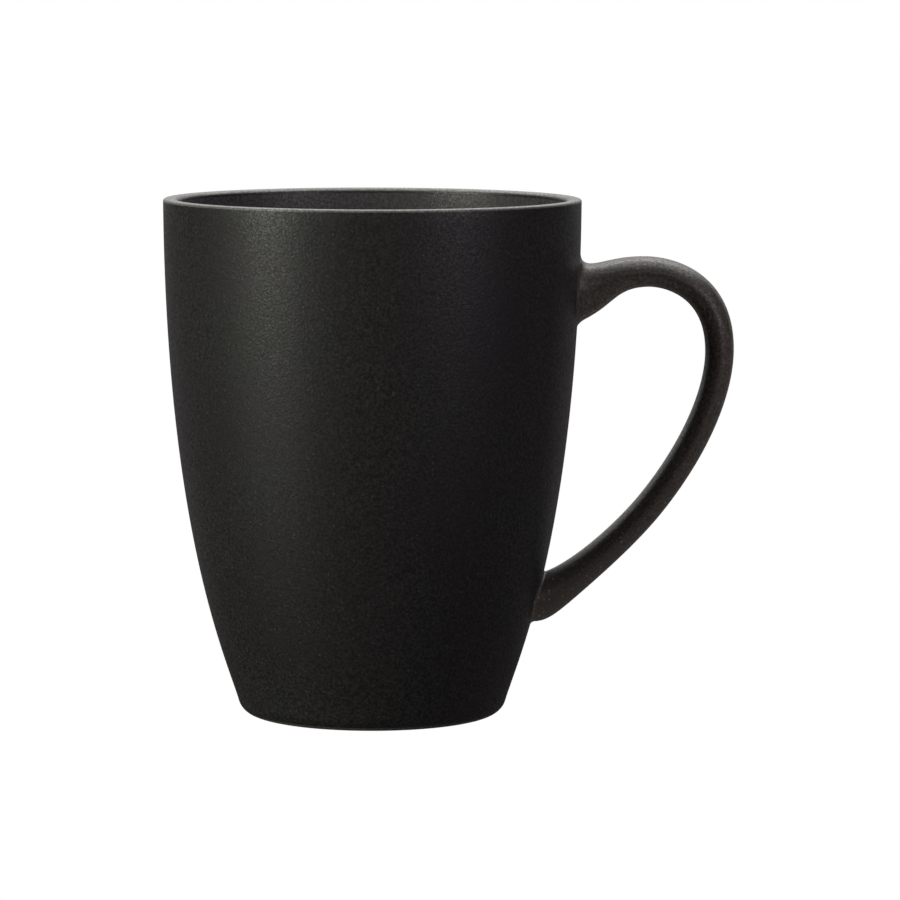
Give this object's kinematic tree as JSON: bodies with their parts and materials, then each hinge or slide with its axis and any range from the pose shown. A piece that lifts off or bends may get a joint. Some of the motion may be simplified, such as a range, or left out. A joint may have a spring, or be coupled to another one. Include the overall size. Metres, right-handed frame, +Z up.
{
  "type": "mug",
  "caption": "Tall tapered stoneware drinking mug with a thin level lip with rounded edges, a foot ring and a long ear-shaped loop handle luted on at two roots, in a dark matte glaze.",
  "frame": {"origin": "middle of the mug's overall length (cup and handle) and width, on the plane that the foot ring stands on; the cup's own axis is parallel to Z, 16.35 mm from the origin towards -X", "axes": "+X from the cup towards the handle, +Z up along the cup's axis from foot to lip, the mug is the same on both sides of Y = 0"},
  "size_m": [0.122, 0.0892, 0.1107],
  "materials": {
    "matte_glaze": "matte",
    "slip_joint_glaze": "matte"
  },
  "bodies": {
    "root": {"mug_body": "matte_glaze", "handle": "matte_glaze", "upper_slip_joint": "slip_joint_glaze", "lower_slip_joint": "slip_joint_glaze"}
  },
  "joints": []
}
